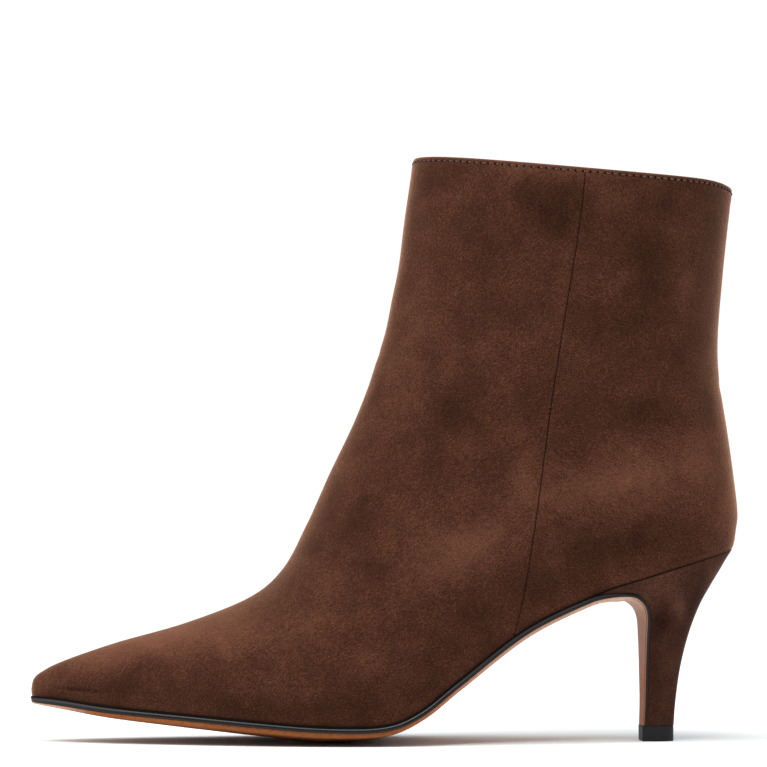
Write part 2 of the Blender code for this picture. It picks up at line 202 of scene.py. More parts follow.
def heelSectionAt(place):
    h = splineRow(heelRows, place)
    along, up, across = boot["length"] / 100, boot["heelHeight"] / 100, boot["ballWidth"] / 100
    return HeelSection(h.frontX * along, h.frontZ * up, h.backX * along, h.backZ * up,
                       h.breast * across, h.width * across)


def sharesBetween(start, end, belly, count):
    # shares along a section, closer together at its low end and at its front line
    def turnOf(share):
        if share < belly:
            return math.acos(1 - share / belly) / (math.pi / 2)
        return 1 + math.asin(min(1, (share - belly) / (1 - belly))) / (math.pi / 2)

    turn = np.linspace(turnOf(start), turnOf(end), count)
    low = (1 - np.cos(np.pi / 2 * np.minimum(turn, 1))) * belly
    top = belly + (1 - belly) * np.sin(np.pi / 2 * np.clip(turn - 1, 0, 1))
    return np.where(turn < 1, low, top)


def sectionPoints(place, shares, side):
    # points of one side of a section: side -1 is the outer side, 1 the inner side
    s = sectionAt(place)
    x = lerp(s.lowX, s.frontX, shares)
    low = s.edge / 2
    if place > wingRow:
        low = seatHalfWidth(x, backOf(place, s.lowX), s.round)
    lowHalf = lerp(low, s.width / 2, np.sin(np.pi / 2 * np.minimum(shares / s.belly, 1)))
    up = np.clip((shares - s.belly) / (1 - s.belly), 0, 1)
    topHalf = np.sqrt(1 - up ** 2) ** s.peak * s.width / 2
    half = np.where(shares < s.belly, lowHalf, topHalf)
    middle = lerp(s.centre, s.ridge, shares)
    spread = 2 * half / s.width if s.width > 0 else 0 * half
    depth, reach = boot["scoop"]
    scoop = np.where(shares < s.belly, np.cos(np.pi / 2 * np.clip(spread / reach, 0, 1)) ** 2, 0)
    z = lerp(s.lowZ, s.frontZ, shares) - s.dip * (spread ** 2 + depth * scoop)
    return np.stack((x + toeX, middle + side * half + heelY, z + 0 * x), axis=1)


def lengthsAlong(points):
    steps = np.linalg.norm(np.diff(points, axis=0), axis=1)
    return np.concatenate(([0.0], np.cumsum(steps)))


def pointsAt(points, distances):
    along = lengthsAlong(points)
    return np.stack([np.interp(distances, along, points[:, k]) for k in range(3)], axis=1)


def spacedPlaces(first, last, spacing):
    # places whose sections lie about one spacing apart where they fan out most
    fine = np.linspace(first, last, dense["rows"])
    tracks = np.array([sectionPoints(p, np.array([0.0, 0.4, 1.0]), -1) for p in fine])
    steps = np.linalg.norm(np.diff(tracks, axis=0), axis=2).max(axis=1)
    along = np.concatenate(([0.0], np.cumsum(steps)))
    count = int(along[-1] / spacing)
    return list(np.interp(np.linspace(0, along[-1], count + 1), along, fine))


def featherLine(first, last, spacing):
    # the low edge of the upper: along the outer side, round the back and along the inner side
    rows = np.linspace(first, last, dense["feather"])
    outer, inner = ([sectionPoints(p, np.array([0.0]), side)[0] for p in rows] for side in (-1, 1))
    line = np.array(outer + inner[-2::-1])
    return pointsAt(line, np.arange(0, lengthsAlong(line)[-1], spacing))


def unit(vectors):
    return vectors / np.linalg.norm(vectors, axis=1)[:, None]


def addObject(name, data):
    made = bpy.data.objects.new(name, data)
    scene.collection.objects.link(made)
    return made


def meshObject(name, points, faces, merge=0.0):
    # plain mesh object from points and faces, with its faces turned outwards
    mesh = bpy.data.meshes.new(name)
    mesh.from_pydata([tuple(p) for p in points], [], faces)
    bm = bmesh.new()
    bm.from_mesh(mesh)
    if merge:
        bmesh.ops.remove_doubles(bm, verts=bm.verts, dist=merge)
        bmesh.ops.dissolve_degenerate(bm, edges=bm.edges, dist=merge)
    bmesh.ops.recalc_face_normals(bm, faces=bm.faces)
    bm.to_mesh(mesh)
    bm.free()
    mesh.shade_smooth()
    return addObject(name, mesh)


def addGrid(points, faces, rows):
    # joins rows of points to both lists as a grid
    columns, start = len(rows[0]), len(points)
    for i in range(start, start + (len(rows) - 1) * columns, columns):
        faces += [(j, j + 1, j + columns + 1, j + columns) for j in range(i, i + columns - 1)]
    points += [p for row in rows for p in row]


def loftObject(name, rings):
    # closed tube with capped ends through rings of equal count, in the tables' own frame
    count = len(rings[0])
    last = (len(rings) - 1) * count
    faces = []
    for i in range(0, last, count):
        for j in range(count):
            k = (j + 1) % count
            faces.append((i + j, i + k, i + count + k, i + count + j))
    faces += [tuple(range(count)), tuple(range(last, last + count))]
    return meshObject(name, np.concatenate(rings) + (toeX, heelY, 0.0), faces, merge=1e-6)


def coordinates(mesh):
    found = np.empty(len(mesh.vertices) * 3)
    mesh.vertices.foreach_get("co", found)
    return found.reshape(-1, 3)


def normalsOf(mesh):
    found = np.empty(len(mesh.vertices) * 3, np.float32)
    mesh.vertex_normals.foreach_get("vector", found)
    return found.reshape(-1, 3).astype(float)


def smoothNormals(mesh, passes=8):
    # outward vertex normals, averaged over their neighbours
    points, normals = coordinates(mesh), normalsOf(mesh)
    ends = np.empty(len(mesh.edges) * 2, np.int32)
    mesh.edges.foreach_get("vertices", ends)
    first, second = ends.reshape(-1, 2).T
    for k in range(passes):
        total = normals.copy()
        np.add.at(total, first, normals[second])
        np.add.at(total, second, normals[first])
        normals = unit(total)
    if np.mean(normals[:, 1] * (points[:, 1] - heelY)) < 0:
        mesh.flip_normals()
        normals = -normals
    return normals


def wallObject(sheet, outside, inside):
    # closed wall between two places of each point of a sheet, which it takes the place of
    name = sheet.name
    faces = [tuple(f.vertices) for f in sheet.data.polygons]
    bpy.data.objects.remove(sheet)
    count = len(outside)
    edges = {(a, b) for f in faces for a, b in zip(f, f[1:] + f[:1])}
    rim = [(b, a, a + count, b + count) for a, b in sorted(edges) if (b, a) not in edges]
    faces += [tuple(v + count for v in f[::-1]) for f in faces]
    mesh = bpy.data.meshes.new(name)
    mesh.from_pydata([tuple(p) for p in outside] + [tuple(p) for p in inside], [], faces + rim)
    mesh.shade_smooth()
    return addObject(name, mesh)


def distancesTo(points, line):
    # from each point to the nearest point of a dense line
    tree = kdtree.KDTree(len(line))
    for k, p in enumerate(line):
        tree.insert(p, k)
    tree.balance()
    return np.array([tree.find(p)[2] for p in points])


def writeAttribute(mesh, name, values):
    layer = mesh.attributes.new(name, "FLOAT", "POINT")
    layer.data.foreach_set("value", np.asarray(values, np.float32))


def hump(distance, width):
    return np.exp(-(distance / width) ** 2)


def band(size, away):
    # soft band beside a line: height, distance of its middle from the line, half width
    height, middle, width = size
    return height * hump(away - middle, width)


def fade(size, away):
    # falls off from a line: height on the line, reach
    return size[0] * np.exp(-away / size[1])


# shader helpers, most of which give back the socket that they make
def newMaterial(name, values):
    made = bpy.data.materials.new(name)
    made.use_nodes = True
    shader = made.node_tree.nodes["Principled BSDF"]
    for socket, value in values.items():
        shader.inputs[socket].default_value = value
    return made, made.node_tree, shader


def addNode(tree, kind, inputs, **settings):
    # a node with its settings, and with each of these inputs linked or set
    made = tree.nodes.new(kind)
    for name, value in settings.items():
        setattr(made, name, value)
    for name, value in inputs.items():
        if isinstance(value, bpy.types.NodeSocket):
            tree.links.new(value, made.inputs[name])
        else:
            made.inputs[name].default_value = value
    return made.outputs


def objectCoords(tree, stretch=(1, 1, 1), turn=(0, 0, 0)):
    # the boot's own coordinates, turned and then stretched along the turned axes
    own = addNode(tree, "ShaderNodeTexCoord", {})["Object"]
    angles = [math.radians(a) for a in turn]
    return addNode(tree, "ShaderNodeMapping", {"Vector": own, "Scale": stretch, "Rotation": angles},
                   vector_type="TEXTURE")["Vector"]


def noise(tree, coords, scale, detail=2.0, roughness=0.5, distortion=0.0):
    return addNode(tree, "ShaderNodeTexNoise", {"Vector": coords, "Scale": scale, "Detail": detail,
                                                "Roughness": roughness, "Distortion": distortion})["Fac"]


def pores(tree, coords, scale, feature):
    return addNode(tree, "ShaderNodeTexVoronoi", {"Vector": coords, "Scale": scale},
                   feature=feature)["Distance"]


def calc(tree, operation, *values):
    return addNode(tree, "ShaderNodeMath", dict(enumerate(values)), operation=operation)[0]


def weighted(tree, parts, base=0.0):
    # base plus each (value, middle, weight) as (value - middle) * weight
    total = base
    for value, middle, weight in parts:
        shifted = calc(tree, "SUBTRACT", value, middle)
        total = calc(tree, "MULTIPLY_ADD", shifted, weight, total)
    return total


def ramp(tree, share, *stops):
    made = tree.nodes.new("ShaderNodeValToRGB")
    made.color_ramp.interpolation = "LINEAR"
    while len(made.color_ramp.elements) < len(stops):
        made.color_ramp.elements.new(0.5)
    for element, (position, colour) in zip(made.color_ramp.elements, stops):
        element.position = position
        element.color = colour
    tree.links.new(share, made.inputs["Fac"])
    return made.outputs["Color"]


def between(tree, share, colours):
    return ramp(tree, share, (0.0, colours[0]), (1.0, colours[1]))


def mixColour(tree, share, first, second):
    return addNode(tree, "ShaderNodeMix", {0: share, 6: first, 7: second}, data_type="RGBA")[2]


def attribute(tree, name):
    return addNode(tree, "ShaderNodeAttribute", {}, attribute_name=name)["Fac"]


def shareAlong(tree, axis, start, end):
    # 0 to 1 between two places along an axis of the boot
    own = addNode(tree, "ShaderNodeTexCoord", {})["Object"]
    place = addNode(tree, "ShaderNodeSeparateXYZ", {0: own})[axis]
    return addNode(tree, "ShaderNodeMapRange", {"Value": place, "From Min": start, "From Max": end},
                   interpolation_type="SMOOTHSTEP")["Result"]


def bump(tree, height, strength, distance, **under):
    return addNode(tree, "ShaderNodeBump", {"Height": height, "Strength": strength, "Distance": distance,
                                            **under})["Normal"]


def paint(shader, colour, relief):
    for value, name in ((colour, "Base Color"), (relief, "Normal")):
        shader.id_data.links.new(value, shader.inputs[name])


def finishPiece(piece, node=None, material=None, sharp=None):
    if material:
        piece.data.materials.append(material)
    if sharp:
        piece.data.set_sharp_from_angle(angle=math.radians(sharp))
    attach(piece, "root")
    if node:
        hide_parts(node)
    print(piece.name + ":", len(piece.data.polygons), "faces")


# camera at the photo's angle, low and a little to the toe's side
camera = {
    "distance": 1.0,
    "turn": -2.0,
    "height": 0.055,
    "aim": (-0.0007, 0.0, 0.1282),
    "lens": 130.4,
    "sensor": 36.0,
    "clip": 0.01,
}

# white floor and sky, an overhead panel in front, a strip for the gloss and a soft box at each end
studio = {
    "floorSize": 12.0,
    "floor": {"Base Color": (0.895, 0.93, 0.94, 1.0), "Roughness": 0.95, "Specular IOR Level": 0.05},
    "sky": 0.44,  # what it lights with
    "white": 1.05,  # what the camera sees of it
    "panel": {"tilt": (17.0, -20.0), "angle": 50.0, "strength": 2.6},  # towards the camera and the toe
    "strip": {"at": (0.14, -0.85, 1.25), "size": (0.6, 0.16), "power": 4.5},
    "toeBox": {"at": (-1.4, -0.05, 0.75), "size": (1.0, 1.0), "power": 9.0},
    "heelBox": {"at": (1.2, 0.15, 1.20), "size": (1.0, 1.0), "power": 6.5},
    "aim": (0.0, 0.0, 0.08),  # of the strip and the boxes
}


def aimAt(made, target):
    made.rotation_euler = (Vector(target) - made.location).to_track_quat("-Z", "Y").to_euler()


def makeCamera():
    lens = bpy.data.cameras.new("photoCamera")
    lens.lens, lens.sensor_width, lens.clip_start = camera["lens"], camera["sensor"], camera["clip"]
    made = addObject("photoCamera", lens)
    turn, away = math.radians(camera["turn"]), camera["distance"]
    made.location = (away * math.sin(turn), -away * math.cos(turn), camera["height"])
    aimAt(made, camera["aim"])
    scene.camera = made


def makeStudio():
    half = studio["floorSize"] / 2
    corners = [(-half, -half, 0), (half, -half, 0), (half, half, 0), (-half, half, 0)]
    floor = meshObject("floor", corners, [(0, 1, 2, 3)])
    floor.data.materials.append(newMaterial("floorPaper", studio["floor"])[0])
    sky = bpy.data.worlds.new("studioWhite")
    sky.use_nodes = True
    light = sky.node_tree.nodes["Background"]
    light.inputs["Color"].default_value = (1, 1, 1, 1)
    ray = addNode(sky.node_tree, "ShaderNodeLightPath", {})["Is Camera Ray"]
    seen = calc(sky.node_tree, "MULTIPLY_ADD", ray, studio["white"] - studio["sky"], studio["sky"])
    sky.node_tree.links.new(seen, light.inputs["Strength"])
    scene.world = sky
    panel = studio["panel"]
    lamp = bpy.data.lights.new("overheadPanel", "SUN")
    lamp.angle, lamp.energy = math.radians(panel["angle"]), panel["strength"]
    addObject("overheadPanel", lamp).rotation_euler = [math.radians(a) for a in panel["tilt"]] + [0]
    for name in ("strip", "toeBox", "heelBox"):
        box = studio[name]
        lamp = bpy.data.lights.new(name, "AREA")
        lamp.shape = "RECTANGLE"
        lamp.size, lamp.size_y = box["size"]
        lamp.energy = box["power"]
        made = addObject(name, lamp)
        made.location = box["at"]
        aimAt(made, studio["aim"])
    scene.view_settings.view_transform = "Standard"


makeCamera()
makeStudio()
print("camera and studio set")


# suede upper: one skin with a side seam on each side, folded collar and soft folds
upperLook = {
    "spacing": 0.0016,  # between sections
    "frontColumns": 64,  # from a seam to the front line
    "backColumns": 30,  # from the back line to a seam
    "edgeSteps": (0.0, 0.00012, 0.0003, 0.0006, 0.0011),  # extra columns beside a seam or the feather edge
    "edgeShort": 0.008,  # they move together on shorter strips
    "collarSteps": (0.00012, 0.0003, 0.0006, 0.0009, 0.0012, 0.0015, 0.0019, 0.0025),  # rows under the fold
    "rimRow": 0.1,  # part of a row over which the way down from the fold is taken
    "rowGaps": (0.02, 0.012),  # parts of a row that stay free under these and beside the seam's foot
    "thick": 0.0012,
    "stitchDrop": 0.0014,  # collar stitching below the fold
    "seamStart": (0.0017, 0.0006),  # below the fold, and the way over which it deepens
    "seamGroove": (-0.00042, 0.0, 0.00016),  # bands: height, distance from the line, half width
    "seamLip": (0.00010, 0.0010, 0.0006),
    "stitchDent": (-0.00014, 0.0014, 0.0006),
    "collarSwell": (0.00010, 0.0030, 0.0012),
    "tuck": (-0.00068, 0.0009),  # of the feather edge into the crevice, and how far up it starts
    "foldRound": (-0.00030, 0.00022),  # of the collar's rim
    "seatTuck": (0.4, 0.0, 0.020),  # what is left of the tuck over the heel, from and to behind the wing
    "seatLip": (0.35, 0.0011, 0.0006),  # band of lighter colour just above the heel seat
    "seatLipReach": (0.012, 0.030),
    "calm": 0.004,  # the folds fade out this near to an edge
    "edgeColourReach": 0.0005,  # reach of the painted crevice shade along the feather edge and of the lighter colour along the fold
    "sideFade": 0.008,  # over which a place on one side fades out at the front and back lines
}

# the side seam in the side view: % of height and % of length
SeamPoint = namedtuple("SeamPoint", "z x")
seamPath = [SeamPoint(*row) for row in (
    (17.7, 67.2),  # at the black edge
    (22.0, 68.3),
    (30.0, 69.4),
    (45.0, 71.2),
    (60.0, 73.0),
    (75.0, 75.0),
    (90.0, 76.7),
    (98.0, 77.4),  # at the collar
)]
seamCurve = np.polyfit([p.z for p in seamPath], [p.x for p in seamPath], 4)

# soft folds: middle in % of length and of height, turn from the floor line in degrees, half sizes
# and depth in mm, side -1 is the outer side, 1 the inner side and 0 both
Fold = namedtuple("Fold", "x z turn length width amount side")
folds = [Fold(*row) for row in (
    (57.5, 58.0, 74, 26, 8.0, -0.40, -1),  # in front of the ankle
    (58.5, 35.0, 28, 20, 8.0, 0.45, -1),
    (47.0, 34.0, -68, 20, 7.0, -0.35, -1),  # instep
    (79.0, 56.0, 2, 24, 6.0, -0.50, -1),  # across the ankle
    (86.0, 46.5, 10, 28, 9.0, 0.45, -1),
    (84.0, 33.5, 8, 32, 8.0, -0.35, -1),  # above the heel seat
    (60.0, 24.5, 22, 30, 8.5, -0.35, -1),  # waist
    (71.4, 88.0, -30, 9, 6.0, -0.25, -1),
    (88.4, 80.0, 84, 24, 9.0, -0.35, -1),
    (91.5, 56.5, -4, 10, 3.0, -0.30, 0),  # back of the ankle
    (96.5, 60.5, 6, 9, 2.6, -0.30, 0),
    (7.2, 9.0, -4, 8, 0.8, -0.70, -1),  # toe
    (20.1, 7.3, 70, 4, 1.8, -0.22, -1),  # lasting puckers
    (25.0, 6.4, 64, 4, 1.8, -0.22, -1),
    (29.2, 5.6, 60, 4, 1.8, -0.20, -1),
    (80.0, 57.0, -3, 24, 6.5, -0.45, 1),
    (85.0, 47.0, 8, 28, 9.0, 0.40, 1),
    (50.0, 38.0, -66, 22, 7.0, -0.35, 1),
    (62.0, 26.0, 20, 30, 8.5, -0.35, 1),
)]

# brushed places of the nap, with painted light along the edges and the vamp's top, painted shade in the
# fold troughs and painted light on their ridges: middle in % as above, half sizes in mm, turn in degrees,
# shade (- is darker)
Brush = namedtuple("Brush", "x z length width turn amount side")
napAndLightBrushes = [Brush(*row) for row in (
    (73.2, 87.8, 8, 7, -30, -0.85, -1),  # shaft
    (69.6, 91.0, 7, 4, -20, -0.35, -1),
    (62.3, 81.0, 9, 6, 40, -0.28, -1),
    (87.0, 84.0, 7, 17, -6, -0.42, -1),
    (82.0, 69.8, 14, 7, 0, -0.45, -1),
    (57.0, 95.0, 9, 5, 0, -0.35, -1),
    (62.8, 72.0, 7, 8, 0, -0.20, -1),
    (69.0, 58.5, 5, 7, 0, -0.25, -1),
    (73.0, 96.3, 16, 4, -5, 0.62, -1),
    (91.4, 76.5, 4, 13, 0, 0.50, -1),
    (95.6, 87.0, 4, 11, 0, -0.35, -1),
    # painted rim light along the front edge
    (54.0, 73.0, 6, 30, -8, 0.34, -1),
    (50.4, 63.5, 4, 14, 0, 0.36, -1),
    (92.2, 89.4, 5, 5, 0, -0.22, -1),
    (79.4, 74.8, 6, 5, 0, 0.24, -1),
    (56.7, 90.6, 4, 5, 0, -0.18, -1),
    (58.1, 68.4, 5, 5, 0, 0.20, -1),
    (98.6, 91.0, 5, 9, 0, -0.40, 0),  # back line, with painted shade and light along the back edge
    (97.4, 68.0, 4, 20, 4, -0.45, 0),
    (98.4, 40.0, 6, 13, 0, 0.75, 0),
    (85.0, 55.3, 11, 6, 4, -0.65, -1),  # ankle, with painted shade in its folds
    (77.5, 57.5, 8, 5, 0, -0.22, -1),
    (90.8, 58.4, 8, 5, 10, 0.32, -1),
    (80.1, 50.0, 6, 5, 0, 0.22, -1),
    (58.0, 54.6, 8, 9, -20, -0.48, -1),
    (56.0, 45.8, 5, 6, 0, -0.25, -1),
    (46.0, 38.5, 6, 8, 0, -0.30, -1),
    (82.5, 44.5, 24, 8, 6, 0.78, -1),  # heel cup, with painted light on its ridge and back edge and painted shade in the fold above the seat
    (93.4, 45.0, 8, 20, 0, 0.60, -1),
    (84.0, 33.5, 24, 6, 8, -0.50, -1),
    (73.0, 26.6, 9, 5, 25, -0.42, -1),
    (68.4, 44.5, 7, 12, 0, 0.45, -1),
    (86.5, 39.6, 10, 4, 4, 0.22, -1),
    (60.0, 31.6, 25, 9, 30, 0.85, -1),  # waist, with painted light on its ridge and painted shade in its fold
    (62.0, 23.5, 20, 6, 18, -0.26, -1),
    (58.0, 16.5, 18, 5, 28, -0.28, -1),
    (53.6, 9.0, 7, 5, 25, -0.30, -1),
    (62.6, 15.6, 7, 4, 30, -0.24, -1),
    (53.3, 37.9, 8, 5, 10, 0.18, -1),
    (39.6, 32.6, 4, 6, 50, -0.45, 0),  # instep and vamp, with a painted highlight along the vamp's top
    (49.0, 27.0, 8, 5, -30, -0.28, -1),
    (42.6, 28.4, 6, 5, 40, 0.25, -1),
    (47.2, 14.8, 6, 7, 30, 0.50, -1),
    (38.0, 19.3, 7, 5, 60, 0.35, -1),
    (47.0, 21.0, 5, 5, 0, 0.30, -1),
    (30.0, 17.6, 16, 6, 14, 0.70, -1),
    (17.5, 17.2, 38, 5, 16, 0.86, -1),
    (31.0, 6.5, 34, 4, -3, -0.25, -1),
    (46.0, 8.0, 12, 6, 10, -0.30, -1),
    (7.2, 9.0, 8, 0.6, -4, -0.80, -1),  # crease at the toe, with painted shade in it
    (3.2, 8.2, 5, 2.0, -5, -0.45, -1),
    (13.5, 10.0, 16, 4.5, 8, -0.25, -1),
    (27.0, 4.6, 26, 2.0, -6, 0.20, -1),
    (82.0, 56.0, 22, 7, 0, -0.45, 1),  # inner side, with painted shade in its fold troughs and painted light on its ridge and along the vamp's top
    (62.0, 24.0, 22, 8, 14, -0.35, 1),
    (84.0, 45.0, 24, 8, 4, 0.60, 1),
    (58.0, 32.0, 22, 8, 36, 0.55, 1),
    (72.0, 82.0, 10, 16, 30, -0.45, 1),
    (15.5, 16.2, 36, 5, 16, 0.50, 1),
)]


def spots(table, points):
    # sum of soft ellipses laid on the sides of the boot, with their length along their turn
    total = np.zeros(len(points))
    for row in table:
        away = points[:, [0, 2]] - (toeX + row.x / 100 * boot["length"], row.z / 100 * boot["height"])
        cos, sin = math.cos(math.radians(row.turn)), math.sin(math.radians(row.turn))
        lies = hump(away @ (cos, sin), row.length * 0.001) * hump(away @ (-sin, cos), row.width * 0.001)
        if row.side:
            lies = lies * np.clip(0.5 + row.side * (points[:, 1] - heelY) / upperLook["sideFade"], 0, 1)
        total += lies * row.amount
    return total


def behindSeam(section, share):
    # how far a point of a section lies behind the seam, in % of length
    x = lerp(section.lowX, section.frontX, share) / boot["length"] * 100
    z = lerp(section.lowZ, section.frontZ, share) / boot["height"] * 100
    return x - float(np.polyval(seamCurve, z))


def crossing(low, high, behind, halvings=40):
    for k in range(halvings):
        middle = (low + high) / 2
        low, high = (middle, high) if behind(middle) > 0 else (low, middle)
    return (low + high) / 2


# the row whose low end lies on the seam, in front of the wing
seamFoot = crossing(wingRow - 2.0, wingRow, lambda place: -behindSeam(sectionAt(place), 0.0))


def seamShareAt(place):
    s = sectionAt(place)
    if place <= seamFoot or behindSeam(s, 0.0) <= 0:
        return 0.0
    return crossing(0.0, 1.0, lambda share: behindSeam(s, share))


def edgeSpread(curve, columns, bothEnds):
    # points along a curve, with the extra columns at its first end or at both
    total = lengthsAlong(curve)[-1]
    steps = np.array(upperLook["edgeSteps"]) * min(1.0, total / upperLook["edgeShort"])
    end = total - steps[-1] if bothEnds else total
    spread = np.concatenate((steps[:-1], np.linspace(steps[-1], end, columns)))
    if bothEnds:
        spread = np.concatenate((spread, total - steps[-2::-1]))
    return pointsAt(curve, spread)


def curveAt(place, side, start, end, count):
    # dense points of one side of a section between two shares
    return sectionPoints(place, sharesBetween(start, end, sectionAt(place).belly, count), side)


def seamLine(side, first, last, count):
    places = np.linspace(first, last, count)
    return np.array([sectionPoints(p, np.array([seamShareAt(p)]), side)[0] for p in places])


def upperPlaces():
    places = spacedPlaces(0, collarRow, upperLook["spacing"])
    part, (underGap, footGap) = upperLook["rimRow"], upperLook["rowGaps"]
    rim, lower = (sectionPoints(p, np.array([0.5]), -1) for p in (collarRow, collarRow - part))
    drop = np.linalg.norm(rim - lower)
    near = [collarRow - part * step / drop for step in upperLook["collarSteps"]]
    places = [p for p in places if p < min(near) - underGap] + near + [collarRow]
    return sorted([p for p in places if abs(p - seamFoot) > footGap] + [seamFoot])


def makeUpperSkin():
    look = upperLook
    places = upperPlaces()
    points, faces = [], []
    for side in (-1, 1):
        front, back = [], []
        for place in places:
            seam = seamShareAt(place)  # 0 is the feather edge or the back line, 1 the front line
            curve = curveAt(place, side, seam, 1.0, dense["front"])
            front.append(edgeSpread(curve, look["frontColumns"], False))
            if place >= seamFoot:
                curve = curveAt(place, side, 0.0, seam, dense["back"])
                back.append(edgeSpread(curve, look["backColumns"], True))
        addGrid(points, faces, front)
        addGrid(points, faces, back)
    sheet = meshObject("suedeUpper", points, faces, merge=2e-6)
    base, normal = coordinates(sheet.data), smoothNormals(sheet.data)
    seams = np.concatenate([seamLine(side, seamFoot, collarRow, dense["seam"]) for side in (-1, 1)])
    shares = np.linspace(0, 1, dense["rim"])
    rim = np.concatenate([sectionPoints(collarRow, shares, side) for side in (-1, 1)])
    seamAway, rimAway = distancesTo(base, seams), distancesTo(base, rim)
    featherAway = distancesTo(base, featherLine(0, seatRow, dense["featherStep"]))
    behindWing = base[:, 0] - toeX - wingX
    left, start, end = look["seatTuck"]
    tight = lerp(1.0, left, easeUp(behindWing, start, end))  # less of a crevice over the heel
    start, reach = look["seamStart"]
    below = np.clip((rimAway - start) / reach, 0, 1)  # the seam starts under the stitches
    move = (band(look["seamGroove"], seamAway) + band(look["seamLip"], seamAway)) * below
    move += band(look["stitchDent"], rimAway) + band(look["collarSwell"], rimAway)
    move += fade(look["tuck"], featherAway) * tight + fade(look["foldRound"], rimAway)
    calm = 1 - np.exp(-np.minimum(featherAway, rimAway) / look["calm"])
    move += spots(folds, base) * 0.001 * calm
    outside = base + normal * move[:, None]
    skin = wallObject(sheet, outside, outside - normal * look["thick"])
    seamX = np.polyval(seamCurve, base[:, 2] / boot["height"] * 100)
    lip = band(look["seatLip"], featherAway) * easeUp(behindWing, *look["seatLipReach"])
    marks = {
        "backPanel": (base[:, 0] - toeX) / boot["length"] * 100 > seamX,
        # brushed nap, with painted light and shade from the table of brushed places
        "nap": spots(napAndLightBrushes, base) + lip,
        # painted shade along the seam groove, from under the stitches down
        "seamLine": hump(seamAway, look["seamGroove"][2]) * below,
        "foldEdge": fade((1.0, look["edgeColourReach"]), rimAway),
        # painted shade in the crevice over the black edge, less over the heel
        "creviceShade": fade((1.0, look["edgeColourReach"]), featherAway) * tight,
    }
    for name, values in marks.items():
        writeAttribute(skin.data, name, np.tile(values, 2))
    return skin


# nap of the suede, on the upper and on the heel, with noises as scale, detail, roughness and distortion
suedeLook = {
    "dark": srgb(34, 15, 9),
    "middle": srgb(59, 32, 20),
    "light": srgb(94, 58, 43),
    "overLight": 0.43,  # the lightest grain lies this far beyond
    "sheen": 1.0,
    "sheenTint": srgb(226, 170, 139),
    "cloud": (60.0, 3.0, 0.55, 0.4),  # brushed clouds, about 17 mm
    "mottle": (240.0, 3.0, 0.6),
    "speckle": (620.0, 3.0, 0.7),  # in the dark rubbed places
    "grain": (2700.0, 2.0, 0.65),  # fibre ends, about a third of a millimetre
    "strokes": (2160.0, 2.0, 0.6),
    "stretch": 2.6,  # length of a brush stroke to its width
    "lay": 31.0,  # its turn from the floor line
    "base": 0.52,  # shade to which the next ones add, where 0.5 is the middle colour
    "cloudShade": 0.7,
    "mottleShade": 0.15,
    "grainShade": 1.55,
    "strokeShade": 0.9,
    "napShade": 0.5,
    "speckleShade": 2.4,
    "rubbedBelow": -0.35,  # nap under which a place counts as rubbed
    "spread": 0.7,  # of the shades on the ramp, which leaves room for the grain in the lightest places
    "soft": (0.25, 0.0004),  # bumps: strength and distance
    "fuzz": (0.8, 0.00018),
    # painted shade in the seam groove and in the crevice over the black edge, and the lighter colour of the
    # collar's fold
    "marks": (("seamLine", 0.8, srgb(30, 16, 12)), ("creviceShade", 1.0, srgb(20, 11, 8)),
              ("foldEdge", 0.6, srgb(128, 84, 64))),
}


def suedeMaterial(name, look, skin):
    made, tree, shader = newMaterial(name, {
        "Roughness": 0.95, "Specular IOR Level": 0.08, "Sheen Roughness": 0.30,
        "Sheen Weight": look["sheen"], "Sheen Tint": look["sheenTint"],
    })
    coords = objectCoords(tree)
    cloud, mottle, grain, fine = (noise(tree, coords, *look[kind])
                                  for kind in ("cloud", "mottle", "grain", "speckle"))

    def strokes(turn):
        turned = objectCoords(tree, (look["stretch"], 1, 1), (0, turn, 0))
        return noise(tree, turned, *look["strokes"])

    fibre = strokes(-look["lay"])
    if skin:  # the nap lies the other way behind the seam
        change = calc(tree, "SUBTRACT", strokes(look["lay"]), fibre)
        fibre = calc(tree, "MULTIPLY_ADD", attribute(tree, "backPanel"), change, fibre)
    # brushed nap, on the upper with painted light and shade
    nap = attribute(tree, "nap")
    shade = weighted(tree, [
        (cloud, 0.5, look["cloudShade"]), (mottle, 0.5, look["mottleShade"]),
        (grain, 0.5, look["grainShade"]), (fibre, 0.5, look["strokeShade"]), (nap, 0.0, look["napShade"]),
    ], look["base"])
    rubbed = calc(tree, "MAXIMUM", calc(tree, "SUBTRACT", look["rubbedBelow"], nap), 0.0)
    speckle = weighted(tree, [(fine, 0.5, look["speckleShade"])])
    shade = calc(tree, "MULTIPLY_ADD", rubbed, speckle, shade)
    shade = weighted(tree, [(shade, 0.5, look["spread"])], 0.5)
    middle, light, side = look["middle"], look["light"], look["spread"] / 2
    bright = [lerp(a, b, 1 + look["overLight"]) for a, b in zip(middle, light)]
    colour = ramp(tree, shade, (0.5 - side, look["dark"]), (0.5, middle), (0.5 + side, light),
                  (1.0, bright))
    if skin:
        for mark, share, tint in look["marks"]:
            colour = mixColour(tree, calc(tree, "MULTIPLY", attribute(tree, mark), share), colour, tint)
    fibres = weighted(tree, [(grain, 0.5, 0.8), (fibre, 0.5, 0.5)])
    paint(shader, colour, bump(tree, fibres, *look["fuzz"], Normal=bump(tree, mottle, *look["soft"])))
    return made


upper = makeUpperSkin()
finishPiece(upper, "upper", suedeMaterial("suede", suedeLook, True))


# lining: a thin leather wall inside the suede
liningLook = {
    "spacing": 0.0035,
    "columns": 34,
    "rows": (2.4, collarRow - 0.0006 / 0.028),  # to 0.6 mm under the fold, at 28 mm to a row
    "inset": 0.00125,
    "thick": 0.0006,
    "leather": {"dark": srgb(120, 88, 66), "light": srgb(158, 122, 94), "pore": 1100.0, "roughness": 0.6,
                "bumps": 0.25},
}


